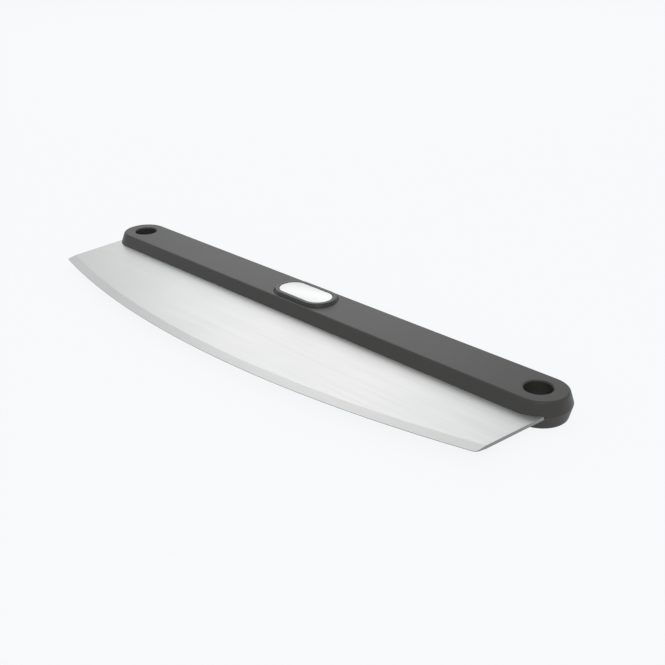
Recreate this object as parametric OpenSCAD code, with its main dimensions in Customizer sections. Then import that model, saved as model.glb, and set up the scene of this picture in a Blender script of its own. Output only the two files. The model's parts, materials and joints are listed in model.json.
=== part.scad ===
// Rocking pizza knife: a broad curved steel blade held by its spine in a long two-shell handle.
// X runs along the handle, -Y towards the cutting edge, +Z up through the flat of the blade.
// The origin is the centre of the handle's flat underside.

/* [Handle] */
// Distance between the centres of the two hanging holes
hole_spacing = 326; // [300:1:350]
// Width of the flat face of the handle, measured to its sharp outline
face_w = 27.2; // [26:0.1:32]
// Width of the handle at its middle, where the two shells meet
belt_w = 36.6; // [34:0.1:42]
// Thickness of the handle
handle_t = 14.4; // [13.5:0.1:18]
// How far the flat face runs past a hanging hole's centre
face_end = 15.3; // [13:0.1:16]
// How far the belt runs past a hanging hole's centre
belt_end = 16.8; // [16.3:0.1:22]
// Radius of the rounded edge of each flat face
edge_round = 1.5; // [0.8:0.1:2]

/* [Hanging holes] */
// Diameter of the hanging holes
hole_d = 14.3; // [8:0.1:15]
// Chamfer at each mouth of a hanging hole
hole_lead = 0.6; // [0.3:0.1:1]

/* [Blade] */
// Thickness of the blade
blade_t = 1.8; // [1.2:0.1:2.4]
// Width across the two lower corners of the blade
corner_span = 342.8; // [325:0.1:344]
// Drop of the lower corners below the handle's centreline
corner_drop = 56.8; // [45:0.1:70]
// Lean of the short end edges, which spread towards the handle
end_lean = 4.8; // [0:0.1:5]
// Depth of the cutting edge's curve below its corners
edge_sag = 22.2; // [12:0.1:34]
// Radius of the two lower corners
corner_round = 3; // [1:0.5:6]
// Width of the ground bevel on each face
bevel_w = 6; // [3:0.5:10]
// Thickness left at the cutting edge
edge_land = 0.3; // [0.2:0.05:0.5]

/* [Tang] */
// Length of the tang that the shells clamp
tang_span = 290; // [284:1:292]
// Reach of the tang past the handle's centreline
tang_rise = 9; // [7:0.5:11]
// Distance from the handle's centreline to the blade's shoulders, under the hanging holes
shoulder_drop = 10.5; // [9.5:0.1:11]
// Radius in the inner corners where the tang meets the shoulders
tang_relief = 1.5; // [1:0.25:2.5]

/* [Fasteners] */
// Number of screws that draw the shells together
screw_count = 4; // [4:2:6]
// Distance between the two outermost screws
screw_span = 270; // [250:1:272]
// Diameter of the screw shank
shank_d = 3.5; // [3:0.1:4]
// Diameter of the screw head
head_d = 6.5; // [6:0.1:8]
// Height of the screw head
head_h = 2.2; // [1.8:0.1:2.6]
// Depth of the screw head below the handle's underside
head_inset = 0.6; // [0.3:0.1:1]
// Width across the flats of the hexagon socket in the screw head
socket_af = 2.5; // [2:0.1:3]
// Depth of the hexagon socket
socket_depth = 1.3; // [1:0.1:1.6]
// Outer diameter of the threaded inserts
insert_d = 5; // [4.6:0.1:6]
// Length of the threaded inserts
insert_len = 3.8; // [3:0.1:4]

/* [Badge] */
// Length of the plain badge plate
plate_len = 37.6; // [30:0.1:50]
// Width of the plain badge plate
plate_w = 17; // [14:0.1:17.5]
// Thickness of the badge plate
plate_t = 1.2; // [0.8:0.1:1.6]
// Thickness of the adhesive pad under the plate
pad_t = 0.3; // [0.2:0.05:0.4]
// Width of the bezel's rim round the plate
rim_w = 2.2; // [1.6:0.1:2.3]
// Spread of the bezel's sloped flank from its rim to its foot
rim_spread = 1; // [0.5:0.1:1.1]
// Height of the bezel's rim above the handle's face
bezel_rise = 1.7; // [1.6:0.1:2.4]
// Depth of the bezel's base in the handle
bezel_sink = 1.2; // [0.8:0.1:1.6]

/* [Fits] */
// Clearance round the blade in its pocket, along the blade's outline
blade_play = 0.2; // [0.1:0.05:0.3]
// Clearance round the screws in the lower shell and the tang
screw_play = 0.3; // [0.2:0.05:0.4]
// Clearance between a screw and its threaded insert, and round the insert
thread_play = 0.05; // [0.02:0.01:0.1]
// Clearance round the badge plate in its bezel
plate_play = 0.15; // [0.1:0.05:0.25]
// Width of the fine gap round the bezel's foot
foot_gap = 0.25; // [0.15:0.05:0.3]

/* [Hidden] */

// Facets on true circles and on the discs that the shells are blended between
$fn = 96;
disc_facets = 48;
// The cutting edge is one arc of a very large circle, so it gets more facets
arc_facets = 1440;
// Overlap of a cutter past the face that it opens
over = 1;
// Thickness of the discs that the shells are blended between
disc_t = 0.01;
// Steps of the rounded edge, in degrees from the flat face
round_steps = [0, 18, 36, 54, 72];

half_t = handle_t / 2;
blade_under = half_t - blade_t / 2;
blade_top = half_t + blade_t / 2;

// The circle of the cutting edge passes through both lower corners
corner = [corner_span / 2, -corner_drop];
arc_r = (pow(corner[0], 2) + pow(edge_sag, 2)) / (2 * edge_sag);
arc_centre = [0, arc_r - corner_drop - edge_sag];
blade_low = corner_drop + edge_sag;

// Directions along and across the right end edge
lean_up = [sin(end_lean), cos(end_lean)];
lean_in = [-cos(end_lean), sin(end_lean)];
// The corner round's centre is one radius inside both the end edge and the cutting arc
from_arc = corner + lean_in * corner_round - arc_centre;
along = from_arc * lean_up;
slide = -along - sqrt(pow(along, 2) - from_arc * from_arc + pow(arc_r - corner_round, 2));
round_centre = corner + lean_in * corner_round + lean_up * slide;
round_out = (round_centre - arc_centre) / norm(round_centre - arc_centre);

screw_xs = [for (i = [0 : screw_count - 1]) screw_span * (i / (screw_count - 1) - 0.5)];
seat_z = head_inset + head_h;
insert_top = blade_top + insert_len;
// Air left over the end of a screw in its blind hole
tip_room = 0.2;

foot_spread = rim_w + rim_spread;
bezel_floor = handle_t;
plate_under = bezel_floor + pad_t;

// Half of the blade's width at a distance above or below the handle's centreline
function blade_half(y) = corner[0] + tan(end_lean) * (y + corner_drop);

// Angle of a flank from upright, from the sharp face outline to the belt
function flank(face, belt) = atan((belt - face) / half_t);

// Half size of the shell at a depth under its face, with the edge rounded into the flank
function shell_half(face, belt, depth) =
    let (lean = flank(face, belt))
    depth < edge_round * (1 - sin(lean))
        ? face - edge_round * tan(45 - lean / 2) + sqrt(pow(edge_round, 2) - pow(edge_round - depth, 2))
        : face + depth * tan(lean);

module two_ends() {
    for (side = [-1, 1]) {
        translate([side * hole_spacing / 2, 0, 0]) children();
    }
}

module at_screws() {
    for (x = screw_xs) {
        translate([x, 0, 0]) children();
    }
}

// Level outline of one shell, round at both ends, at a depth under its face
module shell_level(depth) {
    r = shell_half(face_w / 2, belt_w / 2, depth);
    reach = shell_half(hole_spacing / 2 + face_end, hole_spacing / 2 + belt_end, depth);
    for (side = [-1, 1]) {
        translate([side * (reach - r), 0, 0]) cylinder(h = disc_t, r = r, $fn = disc_facets);
    }
}

// One half of the handle's outside, from the belt at z = 0 up to its flat face
module shell_form() {
    hull() {
        shell_level(half_t);
        for (a = round_steps) {
            depth = edge_round * (1 - cos(a));
            translate([0, 0, half_t - depth - disc_t]) shell_level(depth);
        }
    }
}

// Blade outline before its edge is ground: leaning ends, shoulders and the narrower tang
module blade_plan(play = 0) {
    low = -blade_low - over;
    shoulder = -shoulder_drop + play;
    polygon([
        [-blade_half(low) - play, low],
        [blade_half(low) + play, low],
        [blade_half(shoulder) + play, shoulder],
        [tang_span / 2 + play, shoulder],
        [tang_span / 2 + play, tang_rise + play],
        [-tang_span / 2 - play, tang_rise + play],
        [-tang_span / 2 - play, shoulder],
        [-blade_half(shoulder) - play, shoulder]
    ]);
}

// Disc whose rim carries the ground bevel on both faces
module ground_disc() {
    land = (blade_t - edge_land) / 2;
    translate([arc_centre[0], arc_centre[1], 0]) rotate_extrude($fn = arc_facets) polygon([
        [0, 0],
        [arc_r - bevel_w, 0],
        [arc_r, land],
        [arc_r, land + edge_land],
        [arc_r - bevel_w, blade_t],
        [0, blade_t]
    ]);
}

// Sharp tip outside the round of the right lower corner
module corner_tip() {
    difference() {
        polygon([
            round_centre,
            round_centre - lean_in * corner_round,
            2 * corner - round_centre,
            round_centre + round_out * corner_round
        ]);
        translate(round_centre) circle(r = corner_round);
    }
}

module blade() {
    color("gainsboro") translate([0, 0, blade_under]) difference() {
        intersection() {
            linear_extrude(blade_t) blade_plan();
            ground_disc();
        }
        for (side = [0, 1]) {
            mirror([side, 0, 0]) translate([0, 0, -over]) linear_extrude(blade_t + 2 * over) corner_tip();
        }
        for (side = [-1, 1]) {
            translate([side * (tang_span / 2), -shoulder_drop, -over])
                cylinder(h = blade_t + 2 * over, r = tang_relief);
        }
        at_screws() translate([0, 0, -over]) cylinder(h = blade_t + 2 * over, d = shank_d + 2 * screw_play);
    }
}

// Hanging hole through the whole handle, with a chamfer at both mouths
module hanging_hole() {
    wide_r = hole_d / 2 + hole_lead;
    translate([0, 0, -over]) cylinder(h = handle_t + 2 * over, d = hole_d);
    translate([0, 0, 0]) cylinder(h = hole_lead, r1 = wide_r, r2 = hole_d / 2);
    translate([0, 0, handle_t - hole_lead]) cylinder(h = hole_lead, r1 = hole_d / 2, r2 = wide_r);
}

module blade_pocket() {
    translate([0, 0, blade_under]) linear_extrude(blade_t) blade_plan(blade_play);
}

// Long rounded outline of the badge, grown by a margin on all sides
module badge_plan(margin) {
    r = plate_w / 2 + margin;
    reach = (plate_len - plate_w) / 2;
    square([2 * reach, 2 * r], center = true);
    for (side = [-1, 1]) {
        translate([side * reach, 0]) circle(r = r);
    }
}

module upper_shell() {
    color("dimgray") difference() {
        translate([0, 0, half_t]) shell_form();
        blade_pocket();
        two_ends() hanging_hole();
        at_screws() translate([0, 0, half_t - over])
            cylinder(h = insert_top + tip_room - half_t + over, d = insert_d + 2 * thread_play);
        translate([0, 0, handle_t - bezel_sink])
            linear_extrude(bezel_sink + over) badge_plan(foot_spread + foot_gap);
    }
}

module lower_shell() {
    color("dimgray") difference() {
        translate([0, 0, half_t]) mirror([0, 0, 1]) shell_form();
        blade_pocket();
        two_ends() hanging_hole();
        at_screws() {
            translate([0, 0, -over]) cylinder(h = half_t + 2 * over, d = shank_d + 2 * screw_play);
            translate([0, 0, -over]) cylinder(h = seat_z + over, d = head_d + 2 * screw_play);
        }
    }
}

module threaded_inserts() {
    color("goldenrod") at_screws() translate([0, 0, blade_top]) difference() {
        cylinder(h = insert_len, d = insert_d);
        translate([0, 0, -over]) cylinder(h = insert_len + 2 * over, d = shank_d + 2 * thread_play);
    }
}

module handle_screws() {
    color("silver") at_screws() difference() {
        union() {
            translate([0, 0, head_inset]) cylinder(h = head_h, d = head_d);
            translate([0, 0, seat_z]) cylinder(h = insert_top - seat_z, d = shank_d);
        }
        translate([0, 0, head_inset - over])
            cylinder(h = socket_depth + over, d = socket_af / cos(30), $fn = 6);
    }
}

module badge_bezel() {
    color("dimgray") difference() {
        union() {
            translate([0, 0, handle_t - bezel_sink])
                linear_extrude(bezel_sink) badge_plan(foot_spread);
            hull() {
                translate([0, 0, handle_t]) linear_extrude(disc_t) badge_plan(foot_spread);
                translate([0, 0, handle_t + bezel_rise - disc_t]) linear_extrude(disc_t) badge_plan(rim_w);
            }
        }
        translate([0, 0, bezel_floor]) linear_extrude(bezel_rise + over) badge_plan(plate_play);
    }
}

module badge_pad() {
    color("white") translate([0, 0, bezel_floor]) linear_extrude(pad_t) badge_plan(-rim_spread);
}

module badge_plate() {
    color("lightgray") translate([0, 0, plate_under]) linear_extrude(plate_t) badge_plan(0);
}

blade();
upper_shell();
lower_shell();
threaded_inserts();
handle_screws();
badge_bezel();
badge_pad();
badge_plate();
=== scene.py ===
# %% [markdown]
# A rocking pizza knife, finished in Blender
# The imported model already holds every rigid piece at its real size, in metres: the blade, the two
# halves of the handle, the screws and inserts that hold them, and the small oval badge.
# This lesson gives those pieces their surfaces, rounds the edges that catch the light, and sets
# a camera, a floor and studio light like the ones in the photograph.

import json
from math import cos, pi, radians, sin

import bpy
from mathutils import Matrix, Vector


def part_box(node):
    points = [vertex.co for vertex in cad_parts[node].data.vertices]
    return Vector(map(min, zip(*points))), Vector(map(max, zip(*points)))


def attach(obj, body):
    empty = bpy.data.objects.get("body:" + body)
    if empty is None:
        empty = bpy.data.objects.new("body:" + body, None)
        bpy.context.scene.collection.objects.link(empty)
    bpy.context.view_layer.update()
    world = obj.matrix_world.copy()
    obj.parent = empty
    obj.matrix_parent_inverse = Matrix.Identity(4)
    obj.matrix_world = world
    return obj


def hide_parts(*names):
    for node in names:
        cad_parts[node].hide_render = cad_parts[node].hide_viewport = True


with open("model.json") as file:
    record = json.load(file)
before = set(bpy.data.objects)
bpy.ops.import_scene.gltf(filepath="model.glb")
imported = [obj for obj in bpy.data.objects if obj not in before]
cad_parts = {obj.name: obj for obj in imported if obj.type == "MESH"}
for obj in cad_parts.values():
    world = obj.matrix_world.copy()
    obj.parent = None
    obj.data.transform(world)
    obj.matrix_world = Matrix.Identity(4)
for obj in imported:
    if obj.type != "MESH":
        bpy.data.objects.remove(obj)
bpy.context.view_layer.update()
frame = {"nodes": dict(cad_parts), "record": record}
nodes = frame["nodes"]
MM = 0.001

# %% [markdown]
# The places that the lesson needs are read from the frame, and not typed again: the height of the
# parting plane between the handle's halves, the blade's upper face, the badge plate's corners and
# the distance of the hanging holes.

# %% Places read from the frame
blade_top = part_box("blade")[1].z
belt_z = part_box("upper_shell")[0].z
plate_low, plate_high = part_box("badge_plate")
half_hole_spacing = frame["record"]["mounts"][1]["pos_m"][0]
print("belt at", round(belt_z / MM, 2), "mm, holes at", half_hole_spacing / MM, "mm")

# %% [markdown]
# The camera stands in front of the right end and looks down at the knife by about 25 degrees.
# Its angles, distance and focal length were fitted to the outline of the handle, the two hanging
# holes and the curved edge, so the render can be laid over the photograph.
# Distances are counted in half hole spacings, because that is the length the photograph gives.

# %% Camera
PHOTO = 665
FOCAL_PX = 990.3
TURN = radians(46.56)
LOOK_DOWN = radians(24.93)
ROLL = radians(-1.01)
DISTANCE = 3.548
CENTRE_PX = Vector((306.02, 305.81))
SENSOR_MM = 36

def camera_axes(turn, down, roll):
    """Right, up and backward directions of the camera, as unit vectors."""
    backward = Vector((sin(turn) * cos(down), -cos(turn) * cos(down), sin(down)))
    level = Vector((cos(turn), sin(turn), 0))
    upright = backward.cross(level)
    right = cos(roll) * level + sin(roll) * upright
    up = -sin(roll) * level + cos(roll) * upright
    return right, up, backward

right, up, backward = camera_axes(TURN, LOOK_DOWN, ROLL)
shift = (CENTRE_PX - Vector((PHOTO, PHOTO)) / 2) * DISTANCE / FOCAL_PX
eye = -(right * shift.x - up * shift.y - backward * DISTANCE) * half_hole_spacing
eye.z += belt_z

camera_data = bpy.data.cameras.new("camera")
camera_data.sensor_width = SENSOR_MM
camera_data.lens = FOCAL_PX * SENSOR_MM / PHOTO
camera_data.clip_start = 0.01
camera_data.clip_end = 100
camera = bpy.data.objects.new("camera", camera_data)
bpy.context.scene.collection.objects.link(camera)
turned = Matrix((right, up, backward)).transposed().to_4x4()
camera.matrix_world = Matrix.Translation(eye) @ turned
bpy.context.scene.camera = camera
print("camera at", [round(c, 3) for c in eye], "lens", round(camera_data.lens, 2))

# %% [markdown]
# Every finish is a small node tree on one Principled shader. One helper makes the tree, and each
# of the others adds one thing to it, because the surfaces here need the same few: a little
# change of colour, a little change of roughness, painted shade on the cut edges and fine relief.

# %% Helpers for materials
def new_finish(name, colour, metallic, roughness):
    """A material with one Principled shader, and its nodes, links and shader."""
    finish = bpy.data.materials.new(name)
    finish.use_nodes = True
    tree = finish.node_tree
    shader = tree.nodes["Principled BSDF"]
    shader.inputs["Base Color"].default_value = (*colour, 1)
    shader.inputs["Metallic"].default_value = metallic
    shader.inputs["Roughness"].default_value = roughness
    return finish, tree, shader


def object_grain(tree, scale, stretch=(1, 1, 1), detail=3, roughness=0.6):
    """A noise on the object's own coordinates, stretched along an axis where stretch is small."""
    place = tree.nodes.new("ShaderNodeTexCoord")
    mapping = tree.nodes.new("ShaderNodeMapping")
    mapping.inputs["Scale"].default_value = stretch
    noise = tree.nodes.new("ShaderNodeTexNoise")
    noise.inputs["Scale"].default_value = scale
    noise.inputs["Detail"].default_value = detail
    noise.inputs["Roughness"].default_value = roughness
    tree.links.new(place.outputs["Object"], mapping.inputs["Vector"])
    tree.links.new(mapping.outputs["Vector"], noise.inputs["Vector"])
    return noise.outputs["Fac"]


def between(tree, factor, low, high):
    """Turns a 0 to 1 pattern into values from low to high."""
    spread = tree.nodes.new("ShaderNodeMapRange")
    spread.inputs["From Min"].default_value = 0.25
    spread.inputs["From Max"].default_value = 0.75
    spread.inputs["To Min"].default_value = low
    spread.inputs["To Max"].default_value = high
    tree.links.new(factor, spread.inputs["Value"])
    return spread.outputs["Result"]


def tint(tree, factor, dark, light):
    """Mixes two colours by a pattern."""
    mix = tree.nodes.new("ShaderNodeMix")
    mix.data_type = "RGBA"
    mix.inputs["A"].default_value = (*dark, 1)
    mix.inputs["B"].default_value = (*light, 1)
    tree.links.new(factor, mix.inputs["Factor"])
    return mix.outputs["Result"]


def painted_shade_on_edges(tree, shader, steel, edge):
    """Keeps the steel on the flat faces and the bevels, and paints shade in a darker colour on the thin
    cut edges.
    """
    place = tree.nodes.new("ShaderNodeTexCoord")
    split = tree.nodes.new("ShaderNodeSeparateXYZ")
    size = tree.nodes.new("ShaderNodeMath")
    size.operation = "ABSOLUTE"
    mix = tree.nodes.new("ShaderNodeMix")
    mix.data_type = "RGBA"
    mix.inputs["A"].default_value = (*edge, 1)
    tree.links.new(place.outputs["Normal"], split.inputs[0])
    tree.links.new(split.outputs["Z"], size.inputs[0])
    tree.links.new(between(tree, size.outputs[0], 0, 1), mix.inputs["Factor"])
    tree.links.new(steel, mix.inputs["B"])
    tree.links.new(mix.outputs["Result"], shader.inputs["Base Color"])


def relief(tree, shader, factor, height):
    """Fine relief from a pattern, with its height in metres."""
    bump = tree.nodes.new("ShaderNodeBump")
    bump.inputs["Strength"].default_value = 1
    bump.inputs["Distance"].default_value = height
    tree.links.new(factor, bump.inputs["Height"])
    tree.links.new(bump.outputs["Normal"], shader.inputs["Normal"])

print("material helpers ready")

# %% [markdown]
# The blade is satin stainless steel. The mill leaves very fine lines along the sheet, so light
# smears across them: the shader is metallic, fairly rough, and its grain is a noise that is
# stretched a hundred times along X. The lines change the roughness more than the colour.
# The thin edges carry painted shade: the colour follows the normal, and where it lies level, on
# the ends and along the cutting edge, it is darker.

# %% Satin steel of the blade
def satin_steel(name, grey, roughness, stretch, relief_mm):
    """Rolled or ground steel with a grain, stretched where stretch is small."""
    finish, tree, shader = new_finish(name, (grey, grey, grey * 0.985), 1, roughness)
    lines = object_grain(tree, 1400, stretch, detail=4)
    cloud = object_grain(tree, 14, detail=2)
    dark = (grey * 0.97,) * 3
    light = (grey * 1.03, grey * 1.03, grey * 1.01)
    steel = tint(tree, between(tree, cloud, 0, 1), dark, light)
    # Painted shade: faces whose normal lies level get half the grey.
    painted_shade_on_edges(tree, shader, steel, (grey * 0.5,) * 3)
    tree.links.new(between(tree, lines, roughness - 0.05, roughness + 0.05), shader.inputs["Roughness"])
    relief(tree, shader, lines, relief_mm * MM)
    return finish

blade_finish = satin_steel("blade_steel", 0.53, 0.4, (0.01, 1, 1), 0.0012)
plate_finish = satin_steel("badge_steel", 0.62, 0.42, (1, 1, 1), 0.004)
screw_finish = satin_steel("screw_steel", 0.42, 0.32, (1, 1, 1), 0.002)
print("steel finishes:", blade_finish.name, plate_finish.name, screw_finish.name)

# %% [markdown]
# The handle is moulded from a glass-filled plastic, dark grey and matt. Its tool was spark
# eroded, which leaves an even fine texture of about a fifth of a millimetre. The relief is tiny,
# but it breaks up the highlight on each rounded edge the way the real surface does.

# %% Moulded plastic
PLASTIC_SHINE = 0.38

def moulded(name, colour, roughness, relief_mm):
    """Matt moulded plastic with the fine texture of its tool."""
    finish, tree, shader = new_finish(name, colour, 0, roughness)
    texture = object_grain(tree, 4200, detail=2)
    cloud = object_grain(tree, 30, detail=3)
    dark = tuple(c * 0.93 for c in colour)
    light = tuple(c * 1.07 for c in colour)
    tree.links.new(tint(tree, between(tree, cloud, 0, 1), dark, light), shader.inputs["Base Color"])
    tree.links.new(between(tree, texture, roughness - 0.06, roughness + 0.06), shader.inputs["Roughness"])
    shader.inputs["Specular IOR Level"].default_value = PLASTIC_SHINE
    relief(tree, shader, texture, relief_mm * MM)
    return finish

handle_finish = moulded("handle_nylon", (0.031, 0.031, 0.0285), 0.46, 0.012)
bezel_finish = moulded("bezel_nylon", (0.022, 0.022, 0.021), 0.4, 0.006)
brass_finish, brass_tree, brass_shader = new_finish("insert_brass", (0.7, 0.5, 0.2), 1, 0.35)
relief(brass_tree, brass_shader, object_grain(brass_tree, 900), 0.01 * MM)
foam_finish = moulded("pad_foam", (0.68, 0.68, 0.66), 0.85, 0.03)
print("plastic finishes:", handle_finish.name, bezel_finish.name)

# %% [markdown]
# A CAD node is made of loose triangles with flat shading. Its form is right, so a copy is taken,
# its points are merged, its flat faces are made whole again, and its sharp edges get a fine
# bevel. A weighted normal then keeps the large faces flat and lets only the rounds turn.

# %% Helpers for meshes
def only(piece):
    """Selects one object and nothing else."""
    bpy.ops.object.select_all(action="DESELECT")
    piece.select_set(True)
    bpy.context.view_layer.objects.active = piece


def apply_modifier(piece, kind, **settings):
    """Adds a modifier with its settings and applies it at once."""
    only(piece)
    step = piece.modifiers.new(kind.lower(), kind)
    for key, value in settings.items():
        setattr(step, key, value)
    bpy.ops.object.modifier_apply(modifier=step.name)


def dress(piece, body, finish):
    """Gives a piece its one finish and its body."""
    piece.data.materials.clear()
    piece.data.materials.append(finish)
    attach(piece, body)


def smooth_copy(node, name, edge_mm, finish, sharp=35):
    """A merged copy of a CAD node with softened edges, which stands for the node."""
    piece = bpy.data.objects.new(name, nodes[node].data.copy())
    bpy.context.scene.collection.objects.link(piece)
    only(piece)
    bpy.ops.object.mode_set(mode="EDIT")
    bpy.ops.mesh.select_all(action="SELECT")
    bpy.ops.mesh.remove_doubles(threshold=0.002 * MM)
    bpy.ops.mesh.dissolve_limited(angle_limit=radians(0.2))
    bpy.ops.mesh.normals_make_consistent(inside=False)
    bpy.ops.object.mode_set(mode="OBJECT")
    if edge_mm:
        apply_modifier(piece, "BEVEL", width=edge_mm * MM, segments=2, limit_method="ANGLE",
                       angle_limit=radians(sharp), use_clamp_overlap=True)
    bpy.ops.object.shade_smooth_by_angle(angle=radians(sharp))
    apply_modifier(piece, "WEIGHTED_NORMAL", weight=80, keep_sharp=True)
    dress(piece, "root", finish)
    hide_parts(node)
    print(name, len(piece.data.polygons), "faces")
    return piece

# %% [markdown]
# The two halves of the handle meet at the belt. Their edges there are very slightly rounded, as
# every moulding's are, and that alone draws the fine parting line round the ends.

# %% Handle halves
upper_half = smooth_copy("upper_shell", "upper_half", 0.15, handle_finish)
lower_half = smooth_copy("lower_shell", "lower_half", 0.15, handle_finish)

# %% [markdown]
# The blade keeps the exact form of its CAD node: a ground bevel that follows the big arc of the
# cutting edge, leaning ends and small corner rounds. Its edges stay crisp, so no bevel is added.

# %% Blade
blade_sheet = smooth_copy("blade", "blade_sheet", 0, blade_finish, sharp=3)

# %% [markdown]
# The badge is an oval ring of plastic round a thin metal plate. The ring's rim has a round of its
# own, and the plate is a plain blank here: a circle is stretched into an oval, extruded to the
# plate's thickness, and its upper edge is bevelled as a stamped and tumbled blank is.

# %% Badge ring
badge_ring = smooth_copy("badge_bezel", "badge_ring", 0.25, bezel_finish)

# %% Badge plate
PLATE_EDGE = 0.25 * MM

def oval_plate(name, low, high, edge, steps=96):
    """A flat oval plate between two corners, with a round along its upper edge."""
    bpy.ops.object.select_all(action="DESELECT")
    half_width = (high.y - low.y) / 2
    reach = (high.x - low.x) / 2 - half_width
    bpy.ops.mesh.primitive_circle_add(vertices=steps, radius=half_width, fill_type="NGON",
                                      location=(0, 0, low.z), rotation=(0, 0, pi / steps))
    piece = bpy.context.object
    piece.name = name
    bpy.ops.object.transform_apply(location=True, rotation=True, scale=True)
    for point in piece.data.vertices:
        point.co.x += reach if point.co.x > 0 else -reach
    bpy.ops.object.mode_set(mode="EDIT")
    bpy.ops.mesh.select_all(action="SELECT")
    bpy.ops.mesh.extrude_region_move(TRANSFORM_OT_translate={"value": (0, 0, high.z - low.z)})
    bpy.ops.mesh.bevel(offset=edge, segments=3)
    bpy.ops.mesh.select_all(action="SELECT")
    bpy.ops.mesh.normals_make_consistent(inside=False)
    bpy.ops.object.mode_set(mode="OBJECT")
    bpy.ops.object.shade_smooth_by_angle(angle=radians(35))
    return piece

plain_badge = oval_plate("plain_badge", plate_low, plate_high, PLATE_EDGE)
dress(plain_badge, "root", plate_finish)
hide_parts("badge_plate")
print("plain badge", len(plain_badge.data.polygons), "faces")

# %% [markdown]
# The screws are deep in the underside of the handle, and the inserts and the adhesive pad are
# hidden inside. Their CAD nodes are right as they are, so they only take a finish.

# %% Fasteners and pad
for node, finish in (
    ("handle_screws", screw_finish),
    ("threaded_inserts", brass_finish),
    ("badge_pad", foam_finish),
):
    nodes[node].data.materials.clear()
    nodes[node].data.materials.append(finish)
print("finished the hidden pieces")

# %% [markdown]
# The floor is a wide pale sheet. Seen by the camera or in the metal, most of its brightness is its
# own, so it stays as even as the photograph's paper, and the rest is lit and keeps the shadow.

# %% Floor
BACKGROUND = (0.939, 0.955, 0.964)
FLOOR_SIZE = 40
FLOOR_OWN_LIGHT = 0.93

def seen_rays(tree):
    """1 for rays from the camera, from a mirror or through glass, and 0 for the light's own."""
    path = tree.nodes.new("ShaderNodeLightPath")
    seen = path.outputs["Is Camera Ray"]
    for kind in ("Is Glossy Ray", "Is Transmission Ray"):
        either = tree.nodes.new("ShaderNodeMath")
        either.operation = "MAXIMUM"
        tree.links.new(seen, either.inputs[0])
        tree.links.new(path.outputs[kind], either.inputs[1])
        seen = either.outputs[0]
    return seen


def pale_floor():
    """Pale paper that the camera and the metal see as almost shadowless."""
    finish = bpy.data.materials.new("pale_floor")
    finish.use_nodes = True
    tree = finish.node_tree
    tree.nodes.remove(tree.nodes["Principled BSDF"])
    lit = tree.nodes.new("ShaderNodeBsdfDiffuse")
    lit.inputs["Color"].default_value = (*BACKGROUND, 1)
    own = tree.nodes.new("ShaderNodeEmission")
    own.inputs["Color"].default_value = (*BACKGROUND, 1)
    share = tree.nodes.new("ShaderNodeMath")
    share.operation = "MULTIPLY"
    share.inputs[1].default_value = FLOOR_OWN_LIGHT
    mix = tree.nodes.new("ShaderNodeMixShader")
    tree.links.new(seen_rays(tree), share.inputs[0])
    tree.links.new(share.outputs[0], mix.inputs["Fac"])
    tree.links.new(lit.outputs[0], mix.inputs[1])
    tree.links.new(own.outputs[0], mix.inputs[2])
    tree.links.new(mix.outputs[0], tree.nodes["Material Output"].inputs["Surface"])
    return finish

bpy.ops.object.select_all(action="DESELECT")
bpy.ops.mesh.primitive_plane_add(size=FLOOR_SIZE, location=(0, 0, 0))
floor = bpy.context.object
floor.name = "floor"
floor.data.materials.append(pale_floor())
print("floor", FLOOR_SIZE, "m")

# %% [markdown]
# The light is a pale sky all round and two large soft lamps. The metal mirrors what stands
# behind the knife on the left, so the lamp there makes the bright patch on the blade.
# The other lamp stands above the camera and lightens the sides that face it.

# %% World
SKY_STRENGTH = 0.78

world = bpy.data.worlds.new("studio")
bpy.context.scene.world = world
world.use_nodes = True
sky_tree = world.node_tree
sky = sky_tree.nodes["Background"]
seen_sky = sky_tree.nodes.new("ShaderNodeBackground")
seen_sky.inputs["Color"].default_value = (*BACKGROUND, 1)
seen_sky.inputs["Strength"].default_value = 1
sky.inputs["Color"].default_value = (1, 1, 1, 1)
sky.inputs["Strength"].default_value = SKY_STRENGTH
sky_mix = sky_tree.nodes.new("ShaderNodeMixShader")
sky_tree.links.new(seen_rays(sky_tree), sky_mix.inputs["Fac"])
sky_tree.links.new(sky.outputs[0], sky_mix.inputs[1])
sky_tree.links.new(seen_sky.outputs[0], sky_mix.inputs[2])
sky_tree.links.new(sky_mix.outputs[0], sky_tree.nodes["World Output"].inputs["Surface"])
print("sky strength", SKY_STRENGTH)

# %% Lamps
def soft_lamp(name, place, aim, size, watts):
    """A large square lamp that looks at a point."""
    data = bpy.data.lights.new(name, "AREA")
    data.shape = "SQUARE"
    data.size = size
    data.energy = watts
    lamp = bpy.data.objects.new(name, data)
    bpy.context.scene.collection.objects.link(lamp)
    lamp.location = place
    lamp.rotation_euler = (Vector(aim) - Vector(place)).to_track_quat("-Z", "Y").to_euler()
    return lamp

# The metal mirrors this point of the blade towards the camera from where the first lamp stands
bright_spot = Vector((0.075, -0.045, blade_top))
down_view = (bright_spot - eye).normalized()
mirrored = Vector((down_view.x, down_view.y, -down_view.z))
MIRROR_LAMP_AWAY = 1.6
MIRROR_LAMP_SIZE = 0.8
MIRROR_LAMP_WATTS = 2.2
FRONT_LAMP_AWAY = 1.5
FRONT_LAMP_RAISE = 0.55
FRONT_LAMP_AIM = (0.1, 0, 0)
FRONT_LAMP_SIZE = 0.45
FRONT_LAMP_WATTS = 3
mirror_place = bright_spot + mirrored * MIRROR_LAMP_AWAY
front_place = (backward + Vector((0, 0, FRONT_LAMP_RAISE))).normalized() * FRONT_LAMP_AWAY

soft_lamp("mirror_lamp", mirror_place, bright_spot, MIRROR_LAMP_SIZE, MIRROR_LAMP_WATTS)
soft_lamp("front_lamp", front_place, FRONT_LAMP_AIM, FRONT_LAMP_SIZE, FRONT_LAMP_WATTS)
print("mirror lamp looks along", [round(c, 2) for c in -mirrored])

view = bpy.context.scene.view_settings
view.view_transform = "Standard"
print("light set, view transform", view.view_transform)
